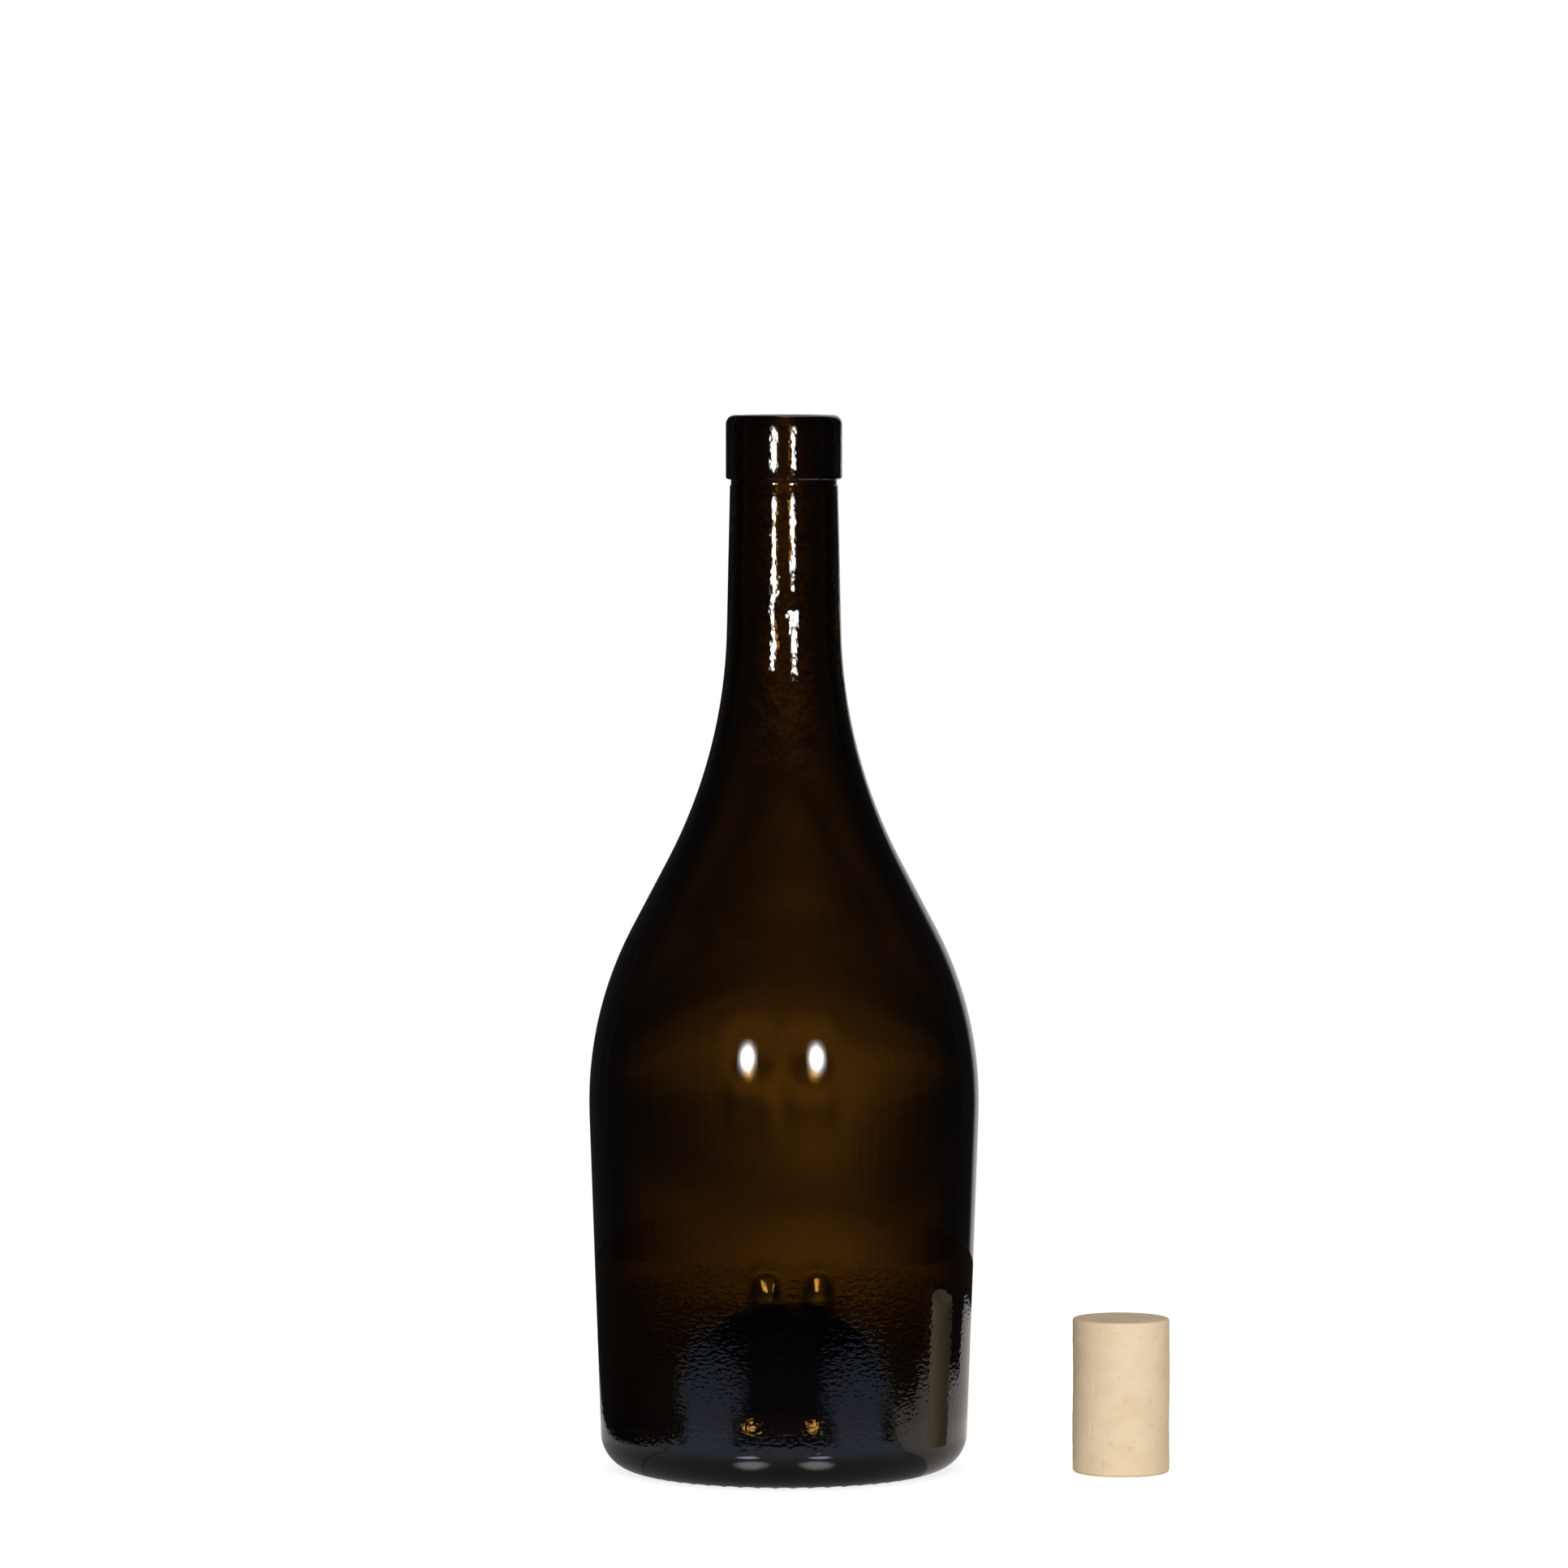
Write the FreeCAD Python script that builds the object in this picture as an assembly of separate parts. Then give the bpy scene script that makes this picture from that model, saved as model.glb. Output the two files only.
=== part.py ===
import FreeCAD, Part

# A wine bottle of dark glass with a flat band at the mouth, and the natural cork that closes it,
# standing beside it. Millimetres, +Z up. The origin is on the bottle's axis, on the plane it stands on.
# The bottle is one wall turned round its axis: its outline runs up the outside, over the lip and down
# the inside, and every bend in it is a corner between two straight slopes with an arc set in.

import math
import os

# Outside of the bottle
HEIGHT = 260.0
SIDE_RADIUS = 44.9              # of the body's side, carried down to the plane that the bottle stands on
HEEL_ROUND = 9.0
BODY_LEAN = 2.0                 # degrees from the axis: the body widens towards the shoulder
SHOULDER_CORNER_HEIGHT = 112.3  # where the body's side and the flank would meet
SHOULDER_ROUND = 90.7
FLANK_LEAN = 27.8               # degrees, of the straight stretch between shoulder and neck
NECK_ROOT_ROUND = 127.0
NECK_RADIUS = 13.3              # at its top, just under the band
NECK_LEAN = 1.25                # degrees: the neck narrows towards the mouth

# Band and mouth
BAND_HEIGHT = 15.8
BAND_RADIUS = 14.3
BAND_TOP_ROUND = 2.3
BAND_BEVEL = 0.4                # of its lower edge
GROOVE_HEIGHT = 1.6             # a shallow groove runs round the neck under the band
GROOVE_DEPTH = 0.25
MOUTH_RADIUS = 9.25
MOUTH_ROUND = 1.0
BORE_LEAN = 0.85                # degrees: the bore widens downwards, so that the cork holds

# Wall thicknesses, and the roundings inside
FLANK_WALL = 3.4
BODY_WALL = 3.3
BOTTOM_WALL = 6.5               # under the trough that runs round the punt
PUNT_WALL = 4.6
INNER_HEEL_ROUND = 9.0
TROUGH_ROUND = 4.0

# Punt, the hollow pushed up into the bottom
PUNT_TOP = 40.4                 # top of its dome inside the bottle
PUNT_DOME_RADIUS = 23.5         # of the dome inside the bottle
PUNT_LEAN = 23.0                # degrees, of its side
INSTEP_HEIGHT = 6.8             # where its side turns out towards the foot
INSTEP_ROUND = 8.0
INSTEP_RADIUS = 32.6            # where the instep would meet the foot's plane
INSTEP_END_ROUND = 4.0

# Foot, the flat ring that the bottle stands on, and the shallow cone outside it that rises to the heel.
# Scallops across both leave knurls, narrow ridges, so that little hot glass touches the belt.
FOOT_RADIUS = 36.9              # outer edge of the flat ring
FOOT_CONE_LEAN = 75.0           # degrees from the axis
KNURL_COUNT = 54
KNURL_WIDTH = 0.7               # of a ridge's flat tip at the ring's outer edge
KNURL_DEPTH = 0.4
KNURL_START_RADIUS = 35.2       # inside this the ring is unbroken
KNURL_LENGTH = 6.0              # more than enough for a scallop to run out of the glass

# Cork, standing on end beside the bottle
CORK_RADIUS = 12.1
CORK_LENGTH = 38.0
CORK_BEVEL = 0.4
CORK_PLACE = FreeCAD.Vector(83.0, -6.0, 0.0)

AXIS = FreeCAD.Vector(0, 0, 1)
CENTRE = FreeCAD.Vector(0, 0, 0)
GLASS_GRAMS_PER_MM3 = 0.0025
SHORTEST_EDGE = 1e-6


def slope(radius, height, lean):
    """A straight side as its radius at height 0 and the radius gained per mm, from one point and its lean."""
    gain = math.tan(math.radians(lean))
    return radius - gain * height, gain


def inwards(side, wall):
    """The same side moved towards the axis by a wall's thickness."""
    radius, gain = side
    return radius - wall * math.hypot(1.0, gain), gain


def radius_at(side, height):
    """How far a side is from the axis at one height."""
    radius, gain = side
    return radius + gain * height


def crossing(lower, upper):
    """The corner where two sides meet, as radius and height."""
    height = (upper[0] - lower[0]) / (lower[1] - upper[1])
    return radius_at(lower, height), height


def dome_corner(top, dome_radius):
    """The corner between a punt's side and the level of its top that, rounded this much, becomes the dome."""
    half_turn = math.radians(90.0 - PUNT_LEAN) / 2
    return dome_radius * math.tan(half_turn), top, dome_radius


def punt_side_radius(top, dome_radius, height):
    """How far the side that runs down from such a dome is from the axis at one height."""
    radius, corner_height, rounding = dome_corner(top, dome_radius)
    return radius_at(slope(radius, corner_height, -PUNT_LEAN), height)


def bottle_corners():
    """The outline as (radius, height, rounding), from the middle of the underside round to the punt's top."""
    body = slope(SIDE_RADIUS, 0.0, BODY_LEAN)
    shoulder_radius = radius_at(body, SHOULDER_CORNER_HEIGHT)
    flank = slope(shoulder_radius, SHOULDER_CORNER_HEIGHT, -FLANK_LEAN)
    band_bottom = HEIGHT - BAND_HEIGHT
    groove_bottom = band_bottom - GROOVE_HEIGHT
    groove_radius = NECK_RADIUS - GROOVE_DEPTH
    neck = slope(NECK_RADIUS, groove_bottom, -NECK_LEAN)

    inner_body = inwards(body, BODY_WALL)
    inner_flank = inwards(flank, FLANK_WALL)
    bore = slope(MOUTH_RADIUS, HEIGHT, -BORE_LEAN)
    under_top = PUNT_TOP - PUNT_WALL
    under_dome_radius = PUNT_DOME_RADIUS - PUNT_WALL

    underside = [
        (0.0, under_top, 0.0),
        dome_corner(under_top, under_dome_radius),
        (punt_side_radius(under_top, under_dome_radius, INSTEP_HEIGHT), INSTEP_HEIGHT, INSTEP_ROUND),
        (INSTEP_RADIUS, 0.0, INSTEP_END_ROUND),
        (FOOT_RADIUS, 0.0, 0.0),
    ]
    outside = [
        crossing(slope(FOOT_RADIUS, 0.0, FOOT_CONE_LEAN), body) + (HEEL_ROUND,),
        (shoulder_radius, SHOULDER_CORNER_HEIGHT, SHOULDER_ROUND),
        crossing(flank, neck) + (NECK_ROOT_ROUND,),
        (NECK_RADIUS, groove_bottom, 0.0),
        (groove_radius, groove_bottom + GROOVE_DEPTH, 0.0),
        (groove_radius, band_bottom, 0.0),
    ]
    band = [
        (BAND_RADIUS - BAND_BEVEL, band_bottom, 0.0),
        (BAND_RADIUS, band_bottom + BAND_BEVEL, 0.0),
        (BAND_RADIUS, HEIGHT, BAND_TOP_ROUND),
        (MOUTH_RADIUS, HEIGHT, MOUTH_ROUND),
    ]
    inside = [
        crossing(inner_flank, bore) + (NECK_ROOT_ROUND + FLANK_WALL,),
        crossing(inner_body, inner_flank) + (SHOULDER_ROUND - FLANK_WALL,),
        (radius_at(inner_body, BOTTOM_WALL), BOTTOM_WALL, INNER_HEEL_ROUND),
        (punt_side_radius(PUNT_TOP, PUNT_DOME_RADIUS, BOTTOM_WALL), BOTTOM_WALL, TROUGH_ROUND),
        dome_corner(PUNT_TOP, PUNT_DOME_RADIUS),
        (0.0, PUNT_TOP, 0.0),
    ]
    return underside + outside + band + inside


def rounded_outline(corners):
    """Lines between the corners, with an arc tangent to both neighbours set in at each rounded one."""
    points = [FreeCAD.Vector(radius, 0, height) for radius, height, rounding in corners]
    edges = []
    pen = points[0]
    for number in range(1, len(points) - 1):
        corner = points[number]
        rounding = corners[number][2]
        back = (points[number - 1] - corner).normalize()
        onward = (points[number + 1] - corner).normalize()
        half_angle = back.getAngle(onward) / 2
        arc_start = corner + back * (rounding / math.tan(half_angle))
        arc_end = corner + onward * (rounding / math.tan(half_angle))
        arc_middle = corner + (back + onward).normalize() * (rounding / math.sin(half_angle) - rounding)
        if (arc_start - pen).Length > SHORTEST_EDGE:
            edges.append(Part.makeLine(pen, arc_start))
        if rounding > 0:
            edges.append(Part.Arc(arc_start, arc_middle, arc_end).toShape())
        pen = arc_end
    if (points[-1] - pen).Length > SHORTEST_EDGE:
        edges.append(Part.makeLine(pen, points[-1]))
    return edges


def bottle_wall():
    """The glass turned round the axis, before the foot is knurled."""
    edges = rounded_outline(bottle_corners())
    top = FreeCAD.Vector(0, 0, PUNT_TOP)
    edges.append(Part.makeLine(top, FreeCAD.Vector(0, 0, PUNT_TOP - PUNT_WALL)))
    return Part.Face(Part.Wire(edges)).revolve(CENTRE, AXIS, 360)


def knurl_scallops():
    """One lying cylinder for each scallop, spaced round the foot so that a ridge is left between two."""
    pitch = 360.0 / KNURL_COUNT
    chord = math.radians(pitch) * FOOT_RADIUS - KNURL_WIDTH
    scallop_radius = (chord**2 / 4 + KNURL_DEPTH**2) / (2 * KNURL_DEPTH)
    start = FreeCAD.Vector(KNURL_START_RADIUS, 0, KNURL_DEPTH - scallop_radius)
    scallop = Part.makeCylinder(scallop_radius, KNURL_LENGTH, start, FreeCAD.Vector(1, 0, 0))
    return [scallop.rotated(CENTRE, AXIS, (number + 0.5) * pitch) for number in range(KNURL_COUNT)]


def make_bottle():
    return bottle_wall().cut(knurl_scallops())


def make_cork():
    """A cylinder punched from bark, with both rims bevelled."""
    cork = Part.makeCylinder(CORK_RADIUS, CORK_LENGTH, CORK_PLACE)
    rims = [edge for edge in cork.Edges if isinstance(edge.Curve, Part.Circle)]
    return cork.makeChamfer(CORK_BEVEL, rims)


def brimful_ml():
    """What the bottle holds to the brim: the space inside the inner outline, turned round the axis."""
    corners = bottle_corners()
    inside_start = next(n for n, corner in enumerate(corners) if corner[0] == MOUTH_RADIUS)
    edges = rounded_outline(corners[inside_start:])
    mouth_middle = FreeCAD.Vector(0, 0, HEIGHT)
    edges.append(Part.makeLine(FreeCAD.Vector(0, 0, PUNT_TOP), mouth_middle))
    edges.append(Part.makeLine(mouth_middle, FreeCAD.Vector(MOUTH_RADIUS, 0, HEIGHT)))
    return Part.Face(Part.Wire(edges)).revolve(CENTRE, AXIS, 360).Volume / 1000


os.makedirs("parts", exist_ok=True)
nodes = {"bottle": make_bottle(), "cork": make_cork()}
for name, shape in nodes.items():
    solid = shape.Solids[0]
    print(name, "solids", len(shape.Solids), "valid", solid.isValid(), "mm3", round(solid.Volume))
    solid.exportStep(f"parts/{name}.step")
print("glass g", round(nodes["bottle"].Volume * GLASS_GRAMS_PER_MM3), "brimful ml", round(brimful_ml()))
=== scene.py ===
# %% [markdown]
# # A dark wine bottle and its cork
# A wine bottle is one piece of blown glass. Its hollow foot, the punt, stiffens the base, and a thick band round the
# mouth lets the neck take the push of the cork. The cork stands beside it, as wide as it was before it was squeezed in.
#
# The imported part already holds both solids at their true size, so this lesson only gives them their looks. Every
# number is in millimetres until a mesh is made, and the axis of the bottle is the Z axis.

import bpy
import numpy as np
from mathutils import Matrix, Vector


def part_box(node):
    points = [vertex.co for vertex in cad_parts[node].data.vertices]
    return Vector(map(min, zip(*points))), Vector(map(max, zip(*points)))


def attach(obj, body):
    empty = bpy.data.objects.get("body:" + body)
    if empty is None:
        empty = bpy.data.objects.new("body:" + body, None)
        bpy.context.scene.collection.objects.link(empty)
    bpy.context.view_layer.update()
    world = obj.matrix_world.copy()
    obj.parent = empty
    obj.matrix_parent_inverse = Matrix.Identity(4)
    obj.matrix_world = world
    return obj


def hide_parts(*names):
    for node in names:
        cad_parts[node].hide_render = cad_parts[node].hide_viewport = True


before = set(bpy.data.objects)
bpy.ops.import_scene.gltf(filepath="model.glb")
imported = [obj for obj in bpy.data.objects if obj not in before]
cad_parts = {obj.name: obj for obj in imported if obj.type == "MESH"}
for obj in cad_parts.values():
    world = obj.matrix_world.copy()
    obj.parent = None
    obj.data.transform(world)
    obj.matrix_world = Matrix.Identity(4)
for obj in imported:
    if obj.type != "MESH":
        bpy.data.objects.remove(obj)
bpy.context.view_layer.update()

# %% [markdown]
# ## One way to build every surface
# Both pieces are round, so each is a grid: one direction runs along an outline, the other round the axis. Worked out
# as whole arrays, a grid needs no loop over its points, and the last column joins the first, so no seam is left open.

# %% A grid becomes a mesh
MM = 0.001
PER_METRE = 1000  # millimetres


def closed_grid(name, points):
    """Makes a mesh from points[row, column], in millimetres, whose columns go once round and whose ends are poles.

    Every point of the first row is the same pole, and so is every point of the last. Four neighbours make one face:
    (row, column), (row, next column), (next row, next column), (next row, column). At a pole two of the four are one
    point, and the face is a triangle.
    """
    rows, columns = points.shape[:2]
    ring = np.arange(columns)
    beside = np.roll(ring, -1)
    places = np.concatenate([points[:1, 0], points[1:-1].reshape(-1, 3), points[-1:, 0]]) * MM
    start = 1 + np.arange(rows - 3)[:, None] * columns
    quads = np.stack([start + ring, start + beside, start + columns + beside, start + columns + ring], axis=-1)
    first = np.stack([np.zeros_like(ring), 1 + beside, 1 + ring], axis=-1)
    end = 1 + (rows - 3) * columns
    last = np.stack([np.full_like(ring, len(places) - 1), end + ring, end + beside], axis=-1)
    mesh = bpy.data.meshes.new(name)
    mesh.from_pydata(places.tolist(), [], quads.reshape(-1, 4).tolist() + first.tolist() + last.tolist())
    mesh.shade_smooth()
    mesh.update()
    piece = bpy.data.objects.new(name, mesh)
    bpy.context.scene.collection.objects.link(piece)
    print(name, "has", len(places), "points and", 2 * quads.shape[0] * columns + 2 * columns, "triangles")
    return piece


def turned_round(profile, angles):
    """Gives the radius, height and angle of every point of a profile turned round an axis, as rows by columns."""
    return (np.repeat(profile[:, :1], len(angles), axis=1), np.repeat(profile[:, 1:], len(angles), axis=1),
            np.repeat(angles[None, :], len(profile), axis=0))


def in_space(radius, around, height, middle=(0, 0)):
    """Gives the points at a radius, angle and height from an upright axis through the middle."""
    return np.stack([middle[0] + radius * np.cos(around), middle[1] + radius * np.sin(around), height], axis=-1)


# %% [markdown]
# ## The outline of the glass
# A mould maker draws a bottle as straight lines joined by arcs. So this outline is a list of corners, each with the
# radius of the arc that rounds it: from the middle of the punt out under the foot, up the outside, over the mouth and
# down the inside to the floor of the bottle. Traced points would also do, but nobody could change them by hand.

# %% Straight lines joined by arcs


def rounded_outline(corners, spacing):
    """Gives the points of a line of corners (radius, height, rounding), each rounded by an arc tangent to both sides.

    With h half the angle at a corner, the arc starts rounding / tan(h) from it along each side, and its centre is
    rounding / sin(h) from it along the bisector. Points are at most the spacing apart, and closer on small arcs.
    """
    place = np.array([corner[:2] for corner in corners], dtype=float)
    stretches = [place[:1]]
    for before, here, after, corner in zip(place[:-2], place[1:-1], place[2:], corners[1:-1]):
        rounding = corner[2]
        back = (before - here) / np.linalg.norm(before - here)
        ahead = (after - here) / np.linalg.norm(after - here)
        half = np.arccos(back @ ahead) / 2
        turn = np.pi - 2 * half
        start = here + back * rounding / np.tan(half)
        end = here + ahead * rounding / np.tan(half)
        middle = here + (back + ahead) / np.linalg.norm(back + ahead) * rounding / np.sin(half)
        length = turn * rounding
        steps = int(np.ceil(max(2, min(np.degrees(turn) / 5, length / 0.4), length / spacing)))
        share = np.linspace(0, 1, steps + 1)[:, None]
        arc = (np.sin((1 - share) * turn) * (start - middle) + np.sin(share * turn) * (end - middle)) / np.sin(turn)
        stretches += [straight(stretches[-1][-1], start, spacing)[1:-1], middle + arc]
    return np.concatenate(stretches + [straight(stretches[-1][-1], place[-1], spacing)[1:]])


def straight(start, end, spacing):
    """Gives evenly spaced points from start to end, at most the spacing apart."""
    return np.linspace(start, end, int(np.ceil(np.linalg.norm(end - start) / spacing)) + 1)


def side(radius, height, lean):
    """Gives a straight side as (radius at height 0, gain in radius per millimetre), from one point and its lean."""
    gain = np.tan(np.radians(lean))
    return radius - gain * height, gain


def inwards(line, wall):
    """Moves a side towards the axis by the thickness of a wall, measured square to the side."""
    return line[0] - wall * np.hypot(1, line[1]), line[1]


def radius_at(line, height):
    """Gives how far a side is from the axis: radius at height 0 + gain * height."""
    return line[0] + line[1] * height


def meeting(lower, upper):
    """Gives the radius and height where two sides cross."""
    height = (upper[0] - lower[0]) / (lower[1] - upper[1])
    return radius_at(lower, height), height


# %% The sides of the bottle
HEIGHT = 260
FOOT_RADIUS = 36.9
SHOULDER_HEIGHT = 112.3
NECK_RADIUS, NECK_TOP = 13.3, 242.6
GROOVE_DEPTH = 0.25
BAND_RADIUS, BAND_BOTTOM, BAND_BEVEL = 14.3, 244.2, 0.4
MOUTH_RADIUS = 9.25
BODY_WALL, FLANK_WALL, FLOOR_HEIGHT = 3.3, 3.4, 6.5
CRISP = 0.12  # even a sharp edge of blown glass is this round
body = side(44.9, 0, 2)
foot = side(FOOT_RADIUS, 0, 75)
shoulder = (radius_at(body, SHOULDER_HEIGHT), SHOULDER_HEIGHT)
flank = side(*shoulder, -27.8)
neck = side(NECK_RADIUS, NECK_TOP, -1.25)
bore = side(MOUTH_RADIUS, HEIGHT, -0.85)
inner_body = inwards(body, BODY_WALL)
inner_flank = inwards(flank, FLANK_WALL)
print("the shoulder's corner is at", np.round(shoulder, 1), "and the neck's root at", np.round(meeting(flank, neck), 1))

# %% The punt is a dome on a leaning side


def punt(top, dome, lean, foot_height):
    """Gives the dome's corner, and the radius of the punt's side at a lower height.

    The dome is the rounding of the corner between the level of its top and a side that leans from the axis, and it
    reaches the axis when that corner is dome * tan((90 - lean) / 2) from it.
    """
    corner = dome * np.tan(np.radians(90 - lean) / 2)
    return (corner, top, dome), radius_at(side(corner, top, -lean), foot_height)


UNDER_TOP, INNER_TOP, INSTEP_HEIGHT = 35.8, 41.4, 6.8
NECK_ROOT_ROUND = 127
under_dome, instep = punt(UNDER_TOP, 18.9, 23, INSTEP_HEIGHT)
inner_dome, trough = punt(INNER_TOP, 27, 19, FLOOR_HEIGHT)
groove_radius = NECK_RADIUS - GROOVE_DEPTH
underside = [(0, UNDER_TOP, 0), under_dome, (instep, INSTEP_HEIGHT, 8), (32.6, 0, 4), (FOOT_RADIUS, 0, CRISP)]
outside = [meeting(foot, body) + (9,), shoulder + (91.7,), meeting(flank, neck) + (NECK_ROOT_ROUND,)]
groove = [(NECK_RADIUS, NECK_TOP, CRISP), (groove_radius, NECK_TOP + GROOVE_DEPTH, CRISP),
          (groove_radius, BAND_BOTTOM, CRISP)]
band = [(BAND_RADIUS - BAND_BEVEL, BAND_BOTTOM, CRISP), (BAND_RADIUS, BAND_BOTTOM + BAND_BEVEL, CRISP),
        (BAND_RADIUS, HEIGHT, 2.3), (MOUTH_RADIUS, HEIGHT, 1)]
inside = [meeting(inner_flank, bore) + (NECK_ROOT_ROUND + FLANK_WALL,), meeting(inner_body, inner_flank) + (87.3,),
          (radius_at(inner_body, FLOOR_HEIGHT), FLOOR_HEIGHT, 6.5), (trough, FLOOR_HEIGHT, 3), inner_dome,
          (0, INNER_TOP, 0)]
corners = underside + outside + groove + band + inside
outline = rounded_outline(corners, 3.8)
print("the outline has", len(outline), "points")

# %% [markdown]
# ## The foot's knurls
# Hot bottles travel on a steel belt, and a plain ring of glass would chill there and crack. So the mould cuts 54
# scallops across the outer half of the foot and leaves narrow ridges between them. Each scallop is part of a cylinder
# that lies along a radius. On the grid it only lifts the foot, and the columns crowd at the ridges to keep them sharp.

# %% Columns and rows where the knurls need them


def first_inside(outline):
    """Gives the number of the first row of the inner wall, the one after the last that is still on the mouth's top."""
    on_mouth = (outline[:, 0] >= 9.3) & (outline[:, 1] > 255)
    return len(outline) - np.argmax(on_mouth[::-1])


KNURLS, RIDGE, SCALLOP_DEPTH, SCALLOP_START = 54, 0.7, 0.4, 35.2
pitch = 2 * np.pi / KNURLS
chord = pitch * FOOT_RADIUS - RIDGE
ridge_edge = RIDGE / 2 / (pitch * FOOT_RADIUS)
in_one_pitch = np.array([0, ridge_edge, 0.28, 0.5, 0.72, 1 - ridge_edge])
angle = ((np.arange(KNURLS)[:, None] + in_one_pitch) * pitch).ravel()

outline = outline[np.r_[True, np.linalg.norm(np.diff(outline, axis=0), axis=1) > 1e-6]]
on_foot = (outline[:, 0] > 35) & (outline[:, 0] < 38.9) & (outline[:, 1] < 0.6)
foot_radii = np.array([35.19, 35.21, 35.8, 36.4, 36.9, 37.2, 37.5, 37.8, 38.1, 38.4, 38.8])
foot_rows = np.stack([foot_radii, np.maximum(0, radius_at((-foot[0] / foot[1], 1 / foot[1]), foot_radii))], axis=1)
first_on_foot = np.argmax(on_foot)
outline = np.concatenate([outline[:first_on_foot], foot_rows, outline[first_on_foot + on_foot.sum():]])

row = np.arange(len(outline))
above_heel_rows = outline[:, 1] < 23
hollow_rows = np.abs(outline[:, 1] - 50.5) < 6.5
bends = (row > first_inside(outline)) & (outline[:, 0] > 41.9) & (above_heel_rows | hollow_rows)
closer = np.sort(np.concatenate([row, row[bends] + 1 / 3, row[bends] + 2 / 3]))
outline = np.stack([np.interp(closer, row, outline[:, n]) for n in range(2)], axis=1)
print("the grid is", len(outline), "rows by", len(angle), "columns")


# %% Lift the foot between the ridges


def scallop_height(radius, around):
    """Gives how high the belt side of the foot is cut, zero on a ridge.

    A circle through both ridge edges has the radius c = (chord * chord / 4 + d * d) / (2 * d), with d its depth. At
    a distance u from the middle of the scallop it is sqrt(c * c - u * u) - (c - d) high.
    """
    circle = (chord ** 2 / 4 + SCALLOP_DEPTH ** 2) / (2 * SCALLOP_DEPTH)
    turned = (around / pitch % 1 - 0.5) * pitch
    aside = radius * np.sin(turned)
    cut = np.sqrt(np.maximum(0, circle ** 2 - aside ** 2)) - (circle - SCALLOP_DEPTH)
    return np.where((radius > SCALLOP_START) & (radius < 39), np.maximum(0, cut), 0)


radius, height, around = turned_round(outline, angle)
under_foot = height < 0.6
height = np.where(under_foot, np.maximum(height, scallop_height(radius, around)), height)
print("the deepest scallop is", round(float(height[under_foot].max()), 2), "mm")

# %% [markdown]
# ## The wall is never quite even
# The outside of blown glass copies the mould. The inside is shaped by air alone, so the wall is a little thicker here
# and thinner there, and what shows through it bends. Long waves in the inner radius give that, with hollows where the
# glass was stretched most. They are part of the shape, while ripples too fine for the grid are left to the finish.

# %% Give the inner wall its waves and hollows


def long_waves(around, height):
    """Gives a sum of waves that go two, three and five times round while they climb, each under 0.04 mm high."""
    return (0.036 * np.sin(2 * around + height / 31) + 0.024 * np.sin(3 * around - height / 19 + 1)
            + 0.016 * np.sin(5 * around + height / 13 + 2))


def smooth(value, start, end):
    """Rises smoothly from 0 at start to 1 at end, as share * share * (3 - 2 * share)."""
    share = np.clip((value - start) / (end - start), 0, 1)
    return share * share * (3 - 2 * share)


def thin_places(around, height):
    """Gives how much thinner the wall is where the hot glass was stretched most, all of it at the front.

    There is one broad stretch above the heel and a pair of hollows 50 mm up. A third pair, 100 mm up, is thinner in
    its lower half and thicker in its upper half. Bearings are in degrees from the front.
    """
    bearing = (np.degrees(around) + 270) % 360 - 180

    def near(middle, end, start):
        return smooth(np.abs(bearing - middle), end, start)

    above_heel = 0.97 * np.clip((18.4 - height) / 5.2, 0, 1) * near(2, 50, 25)
    hollow_depth = 0.9 * np.clip((53.2 - height) / 5.6, 0, 1) * smooth(height, 38, 46)
    hollows = np.maximum(near(-6, 5.8, 1.7) * (1 + 0.08 * (bearing + 6)), near(10.7, 5.8, 1.7))
    shoulder_depth = 0.042 * (102 - height) * np.exp(-((height - 102) / 7) ** 2)
    return above_heel + hollow_depth * hollows + shoulder_depth * np.maximum(near(-10, 10, 4), near(8.3, 10, 4))


inner_row = np.arange(len(outline))[:, None] > first_inside(outline)
fading = np.clip((250 - height) / 20, 0, 1) * np.clip((radius - 3) / 15, 0, 1)
uneven = long_waves(around, height) * fading + thin_places(around, height) * smooth(radius, 36, 40)
radius = radius + np.where(inner_row, uneven, 0)
bottle = closed_grid("bottle_glass", in_space(radius, around, height))
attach(bottle, "root")
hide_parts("bottle")

# %% [markdown]
# ## The cork
# A cork is punched from bark and tumbled smooth, so it is round but never true: its side swells and dips by a tenth
# of a millimetre, its rims are worn, and a few pores break the surface. A profile turned round the axis gives the
# shape, and soft dents placed by angle and height give the pores. It stays inside the solid it stands for.

# %% Turn the cork
low, high = (np.array(corner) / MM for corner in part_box("cork"))
cork_middle, cork_radius, cork_length = (low + high) / 2, (high[0] - low[0]) / 2, high[2] - low[2]
print("the cork is", round(2 * cork_radius, 1), "mm across and", round(cork_length, 1), "mm long")


def dents(around, height, places):
    """Gives how deep the pores are: for each place (angle, height, depth, width, tallness) a dent of the form
    depth * exp(-(across / width) ** 2 - (up / tallness) ** 2), with both distances in millimetres."""
    depth = np.zeros_like(height)
    for at_angle, at_height, deepest, width, tallness in places:
        across = cork_radius * np.sin((around - np.radians(at_angle)) / 2) * 2
        depth += deepest * np.exp(-(across / width) ** 2 - ((height - at_height) / tallness) ** 2)
    return depth


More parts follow.
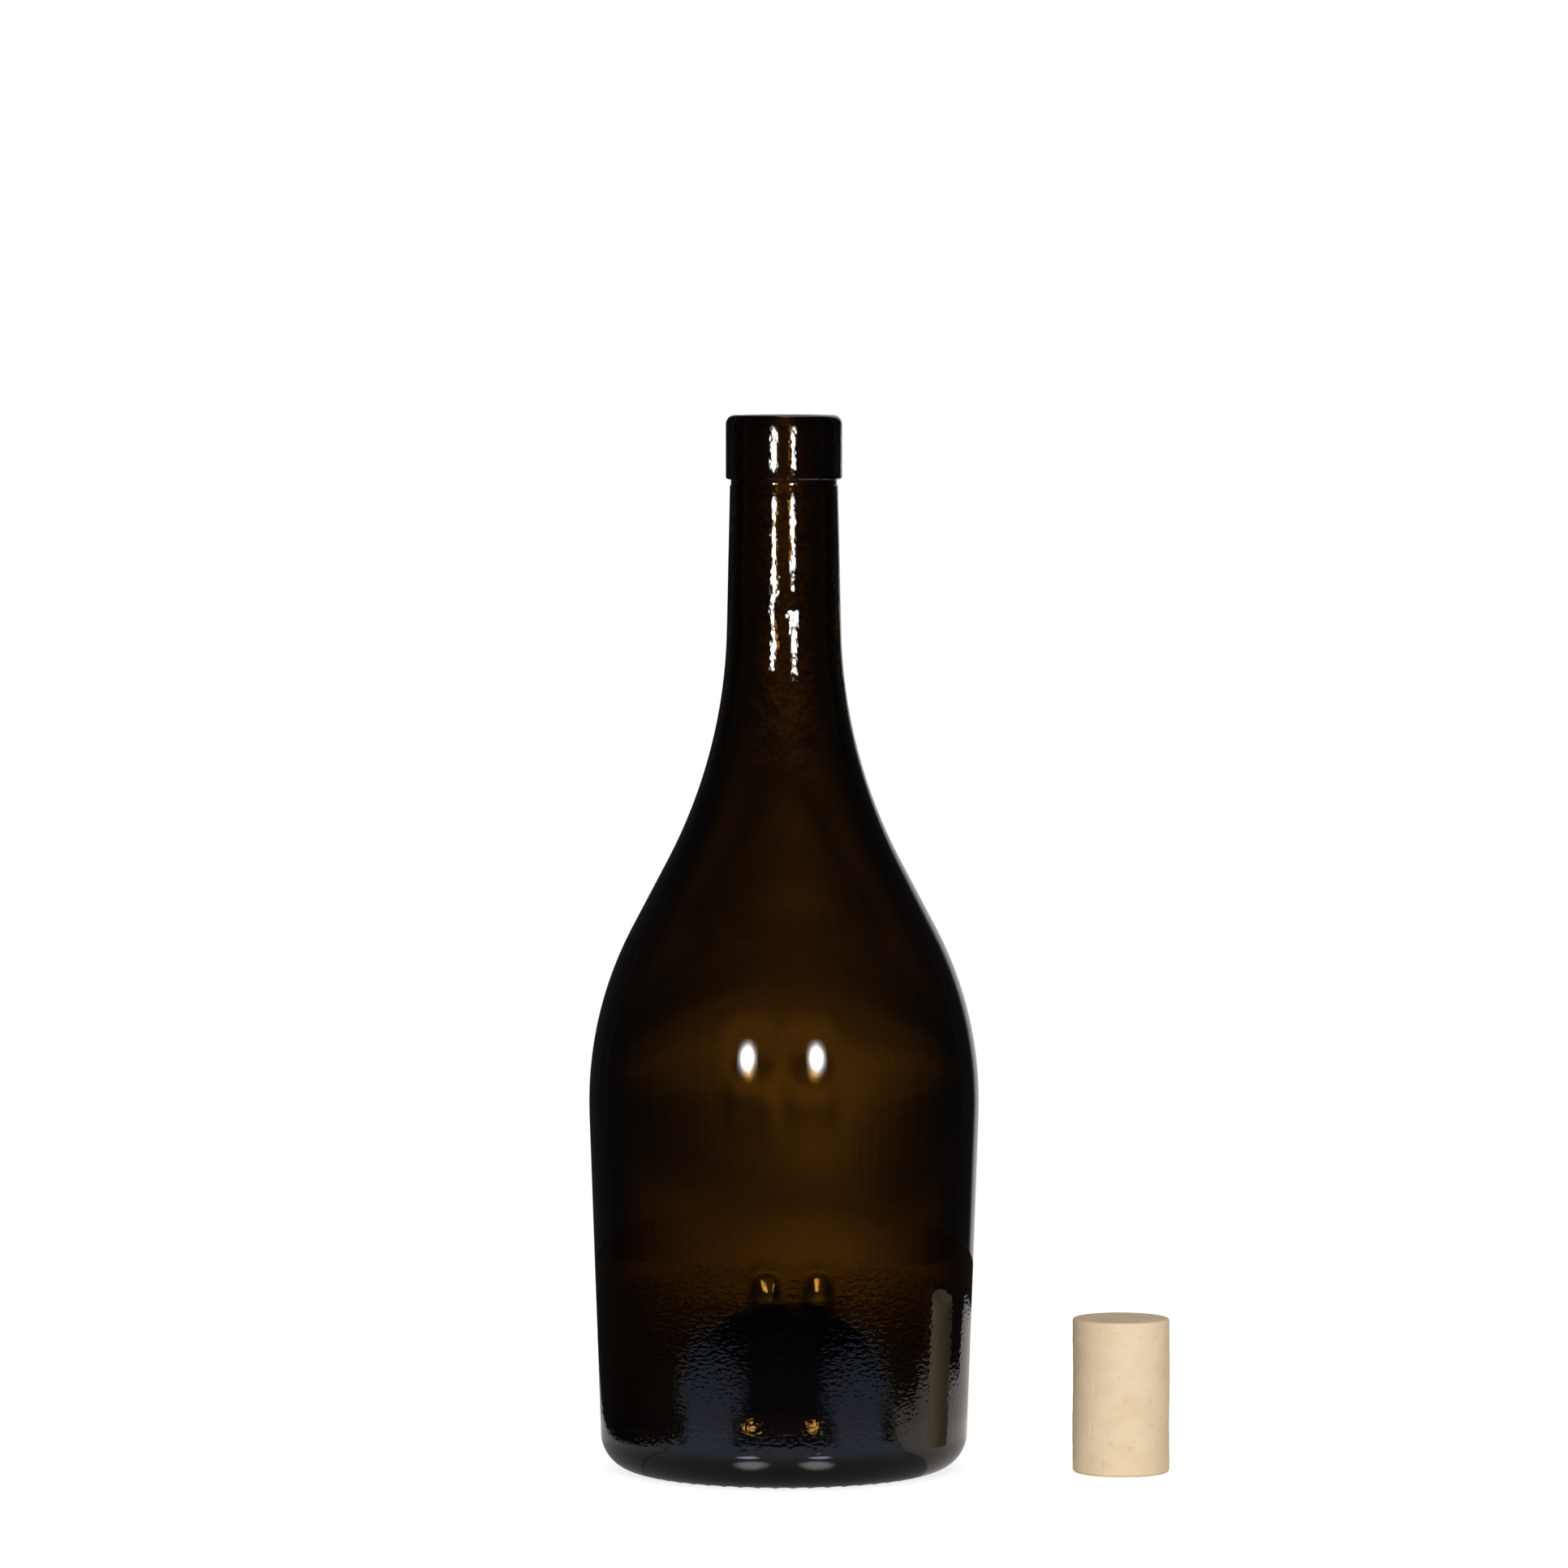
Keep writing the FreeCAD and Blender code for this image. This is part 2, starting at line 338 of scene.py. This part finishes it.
CORK_COLUMNS = 220
cork_outline = rounded_outline(
    [(0, 0, 0), (cork_radius, 0, 0.9), (cork_radius, cork_length, 0.6), (0, cork_length, 0)], 0.5)
radius, height, around = turned_round(cork_outline, np.arange(CORK_COLUMNS) / CORK_COLUMNS * 2 * np.pi)
unround = (0.07 * (1 + np.sin(2 * around + 0.4)) + 0.05 * (1 + np.sin(3 * around + height / 5))
           + 0.03 * (1 + np.sin(7 * around - height / 3)) + 0.02 * (1 + np.sin(height * 1.3 + 4 * around)))
pores = dents(around, height, [
    (-117, 3.2, 0.35, 0.5, 0.45), (-72, 27, 0.16, 0.6, 0.5), (-66, 21, 0.14, 0.5, 0.4), (-125, 22, 0.12, 0.25, 1.6),
    (-131, 12, 0.14, 0.3, 1.4), (-58, 14, 0.12, 0.3, 0.8), (-100, 31, 0.1, 0.5, 0.5), (10, 9, 0.3, 0.5, 0.5),
    (35, 25, 0.25, 0.4, 1.2), (80, 16, 0.4, 0.6, 0.5), (110, 29, 0.3, 0.4, 0.8), (150, 8, 0.35, 0.6, 0.6),
    (175, 21, 0.3, 0.3, 1.5), (-165, 30, 0.25, 0.5, 0.5)])
share = np.clip(radius / cork_radius, 0, 1) ** 4  # near 0 over the ends and 1 at the side
radius = radius - (unround + pores) * share
cut = 1 + np.sin(0.9 * radius * np.cos(around) + 0.7 * np.sin(0.5 * radius * np.sin(around)))
height = np.where(height > cork_length - 1e-6, height - 0.02 * (1 - share) * cut, height)
cork = closed_grid("cork_body", in_space(radius, around, height, cork_middle))
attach(cork, "root")
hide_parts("cork")

# %% [markdown]
# ## Writing a finish as a sum
# A procedural finish is a graph of small nodes, and its arithmetic is hard to read as wires. Here a socket is wrapped
# in a class whose operators add the Math nodes, so that a mask reads like the sum it is. Every other node is made by
# one method, from its type, its settings and what goes into its sockets.

# %% A socket that takes part in sums


class Value:
    """One output socket of a node tree. Each operator adds the Math node that works it out."""

    def __init__(self, tree, socket=None):
        self.tree, self.socket = tree, socket

    def node(self, kind, settings=None, sockets=None, out=0):
        """Adds a node, applies its settings, fills its sockets with numbers or values, and gives one output."""
        made = self.tree.nodes.new(kind)
        for name, setting in (settings or {}).items():
            if name == "stops":
                ramp = made.color_ramp
                for number, (place, grey) in enumerate(setting):
                    stop = ramp.elements[number] if number < 2 else ramp.elements.new(place)
                    stop.position, stop.color = place, (grey, grey, grey, 1)
            else:
                setattr(made, name, setting)
        for name, given in (sockets or {}).items():
            if isinstance(given, Value):
                self.tree.links.new(given.socket, made.inputs[name])
            else:
                made.inputs[name].default_value = given
        return Value(self.tree, made.outputs[out])

    def several(self, kind, *outputs, sockets=None):
        """Adds a node and gives the outputs that are named or numbered."""
        made = self.node(kind, sockets=sockets).socket.node
        return [Value(self.tree, made.outputs[name]) for name in outputs]

    def maths(self, operation, *given):
        """Adds a Math node and fills its sockets in order."""
        return self.node("ShaderNodeMath", {"operation": operation}, dict(enumerate(given)))

    def __add__(self, other):
        return self.maths("ADD", self, other)

    def __radd__(self, other):
        return self.maths("ADD", other, self)

    def __sub__(self, other):
        return self.maths("SUBTRACT", self, other)

    def __rsub__(self, other):
        return self.maths("SUBTRACT", other, self)

    def __mul__(self, other):
        return self.maths("MULTIPLY", self, other)

    def __rmul__(self, other):
        return self.maths("MULTIPLY", other, self)

    def __truediv__(self, other):
        return self.maths("DIVIDE", self, other)

    def __pow__(self, other):
        return self.maths("POWER", self, other)

    def squared(self):
        """Gives the value times itself, which works below zero too, where a power wouldn't."""
        return self * self

    def step(self, start, end):
        """Rises smoothly from 0 at start to 1 at end, or falls where start is the larger."""
        return self.node("ShaderNodeMapRange", {"interpolation_type": "SMOOTHSTEP"},
                         {"Value": self, "From Min": start, "From Max": end})

    def noise(self, place, stretch, detail=2.0, roughness=0.5):
        """Gives noise whose waves are as long, in millimetres along each axis, as the stretch says."""
        waves = tuple(PER_METRE / length for length in stretch)
        scaled = self.node("ShaderNodeVectorMath", {"operation": "MULTIPLY"}, {0: place, 1: waves})
        return self.node("ShaderNodeTexNoise", None,
                         {"Vector": scaled, "Scale": 1.0, "Detail": detail, "Roughness": roughness})

    def mix(self, first, second):
        """Gives a colour between two colours: the first where this is 0, the second where it is 1."""
        return self.node("ShaderNodeMix", {"data_type": "RGBA"}, {0: self, 6: first, 7: second}, out=2)


def colour(red, green, blue):
    """Gives a colour as a socket wants it, from its red, green and blue on a linear scale."""
    return (red, green, blue, 1)


def finish(name):
    """Makes an empty material, and gives it with a value to start sums from and its output node."""
    material = bpy.data.materials.new(name)
    material.use_nodes = True
    material.node_tree.nodes.clear()
    output = material.node_tree.nodes.new("ShaderNodeOutputMaterial")
    return material, Value(material.node_tree), output


# %% [markdown]
# ## Dark amber glass
# Bottle glass gets its brown from iron and sulphur, which swallow blue light, most green and some red. What reaches
# the eye depends on how much glass it came through, so the colour belongs in the volume: absorption darkens the thick
# foot more than the wall. A part of it is the surface tint, which keeps the glass brown where a viewer has no volumes.
# The surface is smooth, apart from ripples and a scuff in the neck and the fine grain of a worn mould above the heel.

# %% Glass
SURFACE_TINT = (0.45, 0.33, 0.15)
GLASS_TINT = (0.558, 0.448, 0.11)
GLASS_DENSITY = 500.0  # per metre
SCUFF_HEIGHT = 214.7
glass, start, output = finish("dark_glass")
place = start.node("ShaderNodeTexCoord", out=3)
across, along, height = (part * PER_METRE for part in start.several(
    "ShaderNodeSeparateXYZ", 0, 1, 2, sockets={0: place}))
lower_body = height.step(48, 42) * height.step(8, 12)
grain = (start.noise(place, (1.5, 1.5, 0.9), 1.0) - 0.5) * lower_body * 0.055
above_scuff = height - SCUFF_HEIGHT
from_scuff = (across - 2).squared() * 0.12 + above_scuff.squared() * 0.055
scuff = start.maths("EXPONENT", from_scuff * -1) * along.step(0, -5)
uneven_neck = (start.noise(place, (3, 3, 4), 2.0, 0.6) - 0.5) * 0.13 + (start.noise(place, (9, 9, 12), 0.0) - 0.5) * 0.2
neck_ripple = uneven_neck * height.step(165, 195) * height.step(259, 255) + above_scuff * scuff * 0.12
slow_ripple = start.noise(place, (30, 30, 24), 0.0) * 0.05
relief = grain + neck_ripple + slow_ripple
bump = start.node("ShaderNodeBump", None, {"Strength": 1.0, "Distance": MM, "Height": relief})
surface = start.node("ShaderNodeBsdfPrincipled", None, {
    "Base Color": colour(*SURFACE_TINT), "Roughness": 0.0, "IOR": 1.52, "Transmission Weight": 1.0, "Normal": bump})
inside = start.node("ShaderNodeVolumeAbsorption", None, {"Color": colour(*GLASS_TINT), "Density": GLASS_DENSITY})
glass.node_tree.links.new(surface.socket, output.inputs["Surface"])
glass.node_tree.links.new(inside.socket, output.inputs["Volume"])
bottle.data.materials.append(glass)
absorbed = BODY_WALL * MM * GLASS_DENSITY * (1 - np.array(GLASS_TINT))
print("glass", BODY_WALL, "mm thick lets through", np.round(np.array(SURFACE_TINT) * np.exp(-absorbed), 3))

# %% [markdown]
# ## Natural cork
# Cork is pale and dry, with grains of darker bark between the cells. Noise at two sizes mixes three near colours, and
# the same noise roughens the surface, so that colour and relief agree.

# %% Cork
natural_cork, start, output = finish("natural_cork")
place = start.node("ShaderNodeTexCoord", out=3)
blotch = start.noise(place, (9, 9, 6), 2.0).step(0.38, 0.66)
grain = start.noise(place, (1.7, 1.7, 1.3), 3.0)
dark_grain = grain.step(0.6, 0.75) * 0.5
pale = blotch.mix(colour(0.92, 0.73, 0.49), colour(0.87, 0.68, 0.44))
shade = dark_grain.mix(pale, colour(0.72, 0.53, 0.33))
relief = grain * 0.05 + blotch * 0.03
bump = start.node("ShaderNodeBump", None, {"Strength": 1.0, "Distance": MM, "Height": relief})
surface = start.node("ShaderNodeBsdfPrincipled", None, {
    "Base Color": shade, "Roughness": grain.step(0.2, 0.9) * 0.15 + 0.75, "Specular IOR Level": 0.25, "Normal": bump})
natural_cork.node_tree.links.new(surface.socket, output.inputs["Surface"])
cork.data.materials.append(natural_cork)
print("cork is mixed from three pale browns")

# %% [markdown]
# ## Floor and room
# The pair stands on a pale floor in a white room. Dark glass shows its room in its edges, so the room matters to its
# looks: a painted pool of light on floor and backdrop glows through the glass, and a painted dim space in front keeps
# the wall from turning grey. Light Path tells the rays apart. A ray from the camera meets plain white, and only rays
# mirrored by or sent through glass meet the painted light and dark.

# %% Floor
FLOOR_RADIUS, RINGS, SPOKES = 450, 40, 96
disc = np.linspace(0, 1, RINGS)[:, None] * FLOOR_RADIUS
turn = np.arange(SPOKES)[None, :] / SPOKES * 2 * np.pi
verts = in_space(disc, turn, 0 * disc * turn)
ring_start = np.arange(RINGS - 1)[:, None] * SPOKES
here, beside = ring_start + np.arange(SPOKES), ring_start + (np.arange(SPOKES) + 1) % SPOKES
quads = np.stack([here, here + SPOKES, beside + SPOKES, beside], axis=-1)
mesh = bpy.data.meshes.new("floor")
mesh.from_pydata((verts.reshape(-1, 3) * MM).tolist(), [], quads.reshape(-1, 4).tolist())
floor = bpy.data.objects.new("floor", mesh)
bpy.context.scene.collection.objects.link(floor)

paper, start, output = finish("pale_paper")
camera_ray, glossy_ray, glass_ray = start.several(
    "ShaderNodeLightPath", "Is Camera Ray", "Is Glossy Ray", "Is Transmission Ray")
place = start.node("ShaderNodeTexCoord", out=3)
across, along = (part * PER_METRE for part in start.several("ShaderNodeSeparateXYZ", 0, 1, sockets={0: place}))
away = (across.squared() + along.squared()) ** 0.5
bearing = start.maths("ARCTAN2", across, along * -1) * (180 / np.pi)
turned = start.maths("ABSOLUTE", bearing)

# Painted light, which only mirror rays see: the floor is painted bright right before the bottle, in two bands that run
# out from there, and at its sides.
SOFT = 4  # degrees over which a band's edge fades
front = away.step(102, 94) * turned.step(62, 56)
inner_limit = away.step(170, 240) * 24 + away.step(155, 130) * 6 + 20
outer_limit = away.step(175, 255) * -20 - away.step(155, 130) * 9 + 61
bands = (away.step(236, 210) * turned.step(inner_limit - SOFT, inner_limit + SOFT)
         * turned.step(outer_limit + SOFT, outer_limit - SOFT))
past_edge = away - bearing.step(76, 84) * 42 - bearing.step(126, 140) * 140
right = bearing.step(56, 62) * bearing.step(178, 160) * past_edge.step(152, 142)
left = bearing.step(-56, -62) * across.step(-85, -77)
lit = start.maths("MAXIMUM", start.maths("MAXIMUM", front, bands), start.maths("MAXIMUM", right, left))

# Two pairs of small painted highlights lie close before the heel. All of it together is painted light that only a
# mirror ray sees.
sideways = start.maths("ABSOLUTE", across)
wide_painted_gleams, near_painted_gleams = (
    ((sideways - aside).squared() + (along + before).squared()).step(reach * reach, 0) * bright
    for aside, before, reach, bright in ((20, 71, 8, 4.4), (11.5, 53, 7.5, 2.6)))
# The painted light is dimmer close to the bottle, a painted contact shadow, and brighter at the right side.
painted_light_level = away.step(36, 95) * 0.35 + 0.15 - away.step(104, 125) * 0.17 + right * 0.25
around_bottle = away.step(262, 180) * turned.step(100, 60) * 0.03
level = lit * painted_light_level + wide_painted_gleams + near_painted_gleams + around_bottle + 0.012
# The painted light is bluish before the bottle and warm at its right side.
cool = turned.step(60, 50) * away.step(45, 100)
tint = cool.mix(right.mix(colour(1, 1, 1), colour(1.05, 0.97, 0.92)), colour(0.80, 0.93, 1.36))

# What glass lets through: a painted pool of light, seen only by rays through glass, that runs back from the bottle and
# gets brighter with distance, so that it is darker close to the bottle.
spread = across / (away * 0.018 + 6.4) - 1.0
pool = start.maths("EXPONENT", (spread.squared() + 1) ** 0.5 * -0.2 + 0.2) * along.step(-20, 20)
through = (away.step(310, 440) * 0.85 + away.step(60, 200) * 0.08 + 0.02) * pool + 0.02
tinted = glass_ray.mix(tint, colour(1, 1, 1))
mirror_ray = glossy_ray * (1 - glass_ray)
diffuse = start.node("ShaderNodeBsdfDiffuse", None, {"Color": colour(0.8, 0.8, 0.8)})
own = start.node("ShaderNodeEmission", None, {"Color": colour(1, 1, 1), "Strength": camera_ray * 0.76})
plain = start.node("ShaderNodeAddShader", None, {0: diffuse, 1: own})
seen = start.node("ShaderNodeEmission", None, {"Color": tinted, "Strength": mirror_ray * level + glass_ray * through})
seen_by_glass = start.maths("MAXIMUM", glossy_ray, glass_ray)
both = start.node("ShaderNodeMixShader", None, {0: seen_by_glass, 1: plain, 2: seen})
paper.node_tree.links.new(both.socket, output.inputs["Surface"])
floor.data.materials.append(paper)

# %% Room
world = bpy.data.worlds.new("studio")
bpy.context.scene.world = world
world.use_nodes = True
world.node_tree.nodes.clear()
output = world.node_tree.nodes.new("ShaderNodeOutputWorld")
start = Value(world.node_tree)
camera_ray, diffuse_ray, glossy_ray, glass_ray = start.several(
    "ShaderNodeLightPath", "Is Camera Ray", "Is Diffuse Ray", "Is Glossy Ray", "Is Transmission Ray")
heading = start.node("ShaderNodeTexCoord", out=0)
across, along, up = start.several("ShaderNodeSeparateXYZ", 0, 1, 2, sockets={0: heading})
bearing = start.maths("ARCTAN2", across, along) * (180 / np.pi)
elevation = start.maths("ARCSINE", up) * (180 / np.pi)
aside = start.maths("ABSOLUTE", bearing)

# The glow is a painted pool of light on the backdrop, which only rays through glass see.
# The tables give, by degrees above the horizon, how bright the glow is and how fast it fades sideways. A ramp runs
# from 0 to 1 both ways, so it starts this many degrees below the horizon and holds half of each value.
BELOW = 8
offset = bearing - 0.6
climb = (elevation - start.maths("ABSOLUTE", offset) * 0.045 + BELOW) / BELOW
glow = [(-6.9, 1.0), (-6.35, 1.02), (-6.22, 0.86), (-6.1, 0.62), (-5.95, 0.57), (-5.8, 0.7), (-5.66, 0.86),
        (-5.5, 1.02), (-5.37, 1.2), (-5.2, 1.26), (-5.0, 1.28), (-4.81, 1.26), (-4.6, 1.08), (-4.42, 0.78),
        (-4.22, 0.6), (-3.97, 0.5), (-3.76, 0.36), (-3.5, 0.33), (-3.25, 0.34), (-3.1, 0.4), (-2.95, 0.33),
        (-2.8, 0.24), (-2.55, 0.2), (-2.35, 0.33), (-1.5, 0.6)]
narrow = [(-6.9, 0.3), (-6.2, 0.37), (-5.95, 0.62), (-5.61, 0.68), (-5.28, 0.46), (-5.0, 0.4), (-4.78, 0.28),
          (-4.44, 0.27), (-4.11, 0.2), (-3.78, 0.34), (-3.44, 0.42), (-3.1, 0.34), (-2.6, 0.2), (-1.5, 0.17)]
brightness, narrowness = (
    start.node("ShaderNodeValToRGB",
               {"stops": [((degrees + BELOW) / BELOW, value / 2) for degrees, value in table]}, {0: climb})
    for table in (glow, narrow))
pool = start.maths("EXPONENT", ((offset.squared() + 1.0) ** 0.5 - 1.0) * narrowness * -2) * brightness * 2
behind = start.maths("MAXIMUM", pool, aside.step(50, 90) * 0.35)
# Mirror rays see a painted bright stripe behind the bottle, a painted reflection, and a painted dim room everywhere
# else.
painted_reflection_level = bearing.step(30, 18) * bearing.step(-8, -3) * 0.6 + 0.02
mirror_ray = glossy_ray * (1 - glass_ray)
level = camera_ray + glass_ray * behind + mirror_ray * painted_reflection_level + diffuse_ray * 0.45
backdrop = start.node("ShaderNodeBackground", None, {"Color": colour(1, 1, 1), "Strength": level})
world.node_tree.links.new(backdrop.socket, output.inputs["Surface"])
print("the room is lit")

# %% [markdown]
# ## Lamps
# Two softboxes stand left and right of the camera and light the cork and the floor. Glass shows the shape of a lamp, so
# it doesn't see these two. In place of each it sees a bright sheet, which fades outwards and which nothing else sees.

# %% Lamps
from mathutils import Vector

BOTTLE_MIDDLE = Vector((0, 0, 0.11))


def softbox(name, bearing_degrees, elevation_degrees, distance, size, radiance):
    """Makes a square lamp that faces the bottle and lights plain surfaces only."""
    swing, lift = np.radians([bearing_degrees, elevation_degrees])
    outwards = Vector((np.sin(swing) * np.cos(lift), -np.cos(swing) * np.cos(lift), np.sin(lift))) * distance
    data = bpy.data.lights.new(name, "AREA")
    data.shape, data.size = "SQUARE", size
    data.energy = radiance * size * size * np.pi
    lamp = bpy.data.objects.new(name, data)
    lamp.location = BOTTLE_MIDDLE + outwards
    lamp.rotation_euler = (-outwards).to_track_quat("-Z", "Y").to_euler()
    lamp.visible_camera = lamp.visible_glossy = lamp.visible_transmission = False
    bpy.context.scene.collection.objects.link(lamp)


def bright_sheet(name, bearing_degrees, distance, middle, half_width, half_height, radiance):
    """Makes an upright sheet that faces the axis and shines only in gloss, also on the glass's inner faces.

    With u and v the distances from its middle as shares of the half sizes, it shines by
    radiance * exp(-5 * (u * u + v * v)).
    """
    swing = np.radians(bearing_degrees)
    foot_point = np.array([np.sin(swing), -np.cos(swing)]) * distance
    along_sheet = np.array([np.cos(swing), np.sin(swing)])
    verts = [(*(foot_point + along_sheet * u * half_width), middle + v * half_height) for u, v in (
        (-1, -1), (1, -1), (1, 1), (-1, 1))]
    mesh = bpy.data.meshes.new(name)
    mesh.from_pydata((np.array(verts) * MM).tolist(), [], [(0, 1, 2, 3)])
    sheet = bpy.data.objects.new(name, mesh)
    bpy.context.scene.collection.objects.link(sheet)
    material, start, output = finish(name)
    glossy_ray, diffuse_depth = start.several("ShaderNodeLightPath", "Is Glossy Ray", "Diffuse Depth")
    place = start.node("ShaderNodeTexCoord", out=3)
    x, y, z = (part * PER_METRE for part in start.several("ShaderNodeSeparateXYZ", 0, 1, 2, sockets={0: place}))
    u = (x * along_sheet[0] + y * along_sheet[1]) / half_width
    v = (z - middle) / half_height
    shine = start.maths("EXPONENT", (u.squared() + v.squared()) * -5) * radiance
    shown = glossy_ray * (1 - diffuse_depth.step(0, 1))
    clear = start.node("ShaderNodeBsdfTransparent")
    light = start.node("ShaderNodeEmission", None, {"Strength": shine})
    both = start.node("ShaderNodeMixShader", None, {0: shown, 1: clear, 2: light})
    start.tree.links.new(both.socket, output.inputs["Surface"])
    mesh.materials.append(material)


for word, way in (("left", -1), ("right", 1)):
    softbox(word + "_softbox", way * 20.7, elevation_degrees=6, distance=1.6, size=0.28, radiance=28.0)
    bright_sheet(word + "_sheet", way * 20.2 - 1.2, distance=613, middle=236, half_width=68, half_height=66,
                 radiance=150.0)

# %% [markdown]
# ## Camera
# A long lens from two metres away keeps the sides of the bottle upright. It looks down by a few degrees.

# %% Camera
LOOKS_DOWN = 3.0923  # degrees
data = bpy.data.cameras.new("camera")
data.lens, data.sensor_width = 191.6, 36
camera = bpy.data.objects.new("camera", data)
camera.location = (0, -2.050, 0.280)
camera.rotation_euler = (np.radians(90 - LOOKS_DOWN), 0, 0)
bpy.context.scene.collection.objects.link(camera)
bpy.context.scene.camera = camera
bpy.context.scene.view_settings.view_transform = "Standard"
